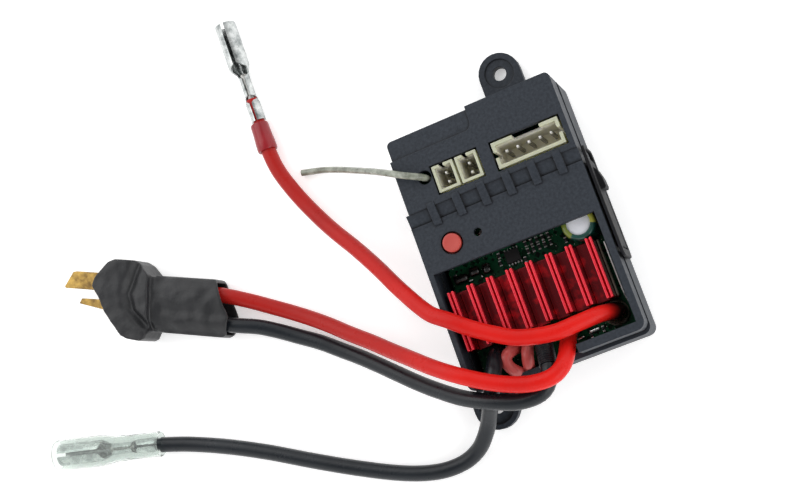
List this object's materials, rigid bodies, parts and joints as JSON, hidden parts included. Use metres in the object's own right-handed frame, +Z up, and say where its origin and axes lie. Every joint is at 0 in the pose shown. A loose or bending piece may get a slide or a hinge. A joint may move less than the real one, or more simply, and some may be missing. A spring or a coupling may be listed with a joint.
{
  "type": "electronic speed controller",
  "caption": "Flat plastic receiver and speed controller box with finned heat sink, open pin sockets, side power slider, screw ears, antenna and heavy leads to a T plug and motor terminals.",
  "frame": {"origin": "centre of the box with its ears and slider thumb, seen from above, on the flat underside", "axes": "+Z up from the underside; +Y along the box towards its sockets and upper ear; +X towards the side with the power slider"},
  "size_m": [0.1434, 0.1151, 0.0203],
  "materials": {
    "slate_plastic": "fine matte texture, dark slate",
    "switch_plastic": "plain matte",
    "board_green": "solder-mask gloss",
    "chip_black": "moulded epoxy",
    "crystal_can": "stamped can",
    "switch_can": "stamped can",
    "red_anodised": "red anodised extrusion",
    "thermal_grey": "soft pad",
    "can_aluminium": "bright can top",
    "sleeve_green": "shrunk vinyl",
    "nylon": "moulded nylon, slightly see-through",
    "tin": "bright tin plate",
    "button_red": "satin",
    "led_clear": "clear lens",
    "screw_steel": "dark steel",
    "silicone_red": "smooth silicone",
    "silicone_black": "smooth silicone",
    "silicone_pink": "smooth silicone",
    "antenna_jacket": "thin translucent jacket",
    "shrink_black": "heat-shrink",
    "blade_brass": "gold flashed brass",
    "sleeve_red": "clear red sleeve",
    "sleeve_clear": "clear soft sleeve"
  },
  "bodies": {
    "body": {"base_shell": "slate_plastic", "top_cover": "slate_plastic", "side_rail": "switch_plastic", "slide_switch": "switch_can", "circuit_board": "board_green", "microcontroller": "chip_black", "radio_chip": "chip_black", "crystal": "crystal_can", "mosfet_1": "chip_black", "mosfet_2": "chip_black", "mosfet_3": "chip_black", "mosfet_4": "chip_black", "heat_sink": "red_anodised", "thermal_pad": "thermal_grey", "capacitor_can": "can_aluminium", "capacitor_sleeve": "sleeve_green", "servo_socket": "nylon", "light_socket_1": "nylon", "light_socket_2": "nylon", "servo_pin_1": "tin", "servo_pin_2": "tin", "servo_pin_3": "tin", "servo_pin_4": "tin", "servo_pin_5": "tin", "light_pin_1": "tin", "light_pin_2": "tin", "light_pin_3": "tin", "light_pin_4": "tin", "button_switch": "chip_black", "status_led": "led_clear", "case_screw_1": "screw_steel", "case_screw_2": "screw_steel", "link_wire_1": "silicone_pink", "link_wire_2": "silicone_pink", "battery_wire_red": "silicone_red", "battery_wire_black": "silicone_black", "motor_wire_red": "silicone_red", "motor_wire_black": "silicone_black", "antenna_wire": "antenna_jacket", "t_plug_body": "shrink_black", "plug_sleeve": "shrink_black", "t_plug_blade_flat": "blade_brass", "t_plug_blade_upright": "blade_brass", "motor_terminal_red": "tin", "motor_terminal_black": "tin", "terminal_sleeve_red": "sleeve_red", "terminal_sleeve_clear": "sleeve_clear"},
    "button": {"setup_button": "button_red"},
    "slider": {"power_slider": "switch_plastic"}
  },
  "joints": [
    {"name": "button_press", "type": "slide", "parent": "body", "child": "button", "axis": [0, 0, -1], "range_m": [0, 0.0005], "stiffness_N_per_m": 400, "springref_m": -0.0005},
    {"name": "power_slide", "type": "slide", "parent": "body", "child": "slider", "axis": [0, 1, 0], "range_m": [0, 0.002]}
  ]
}
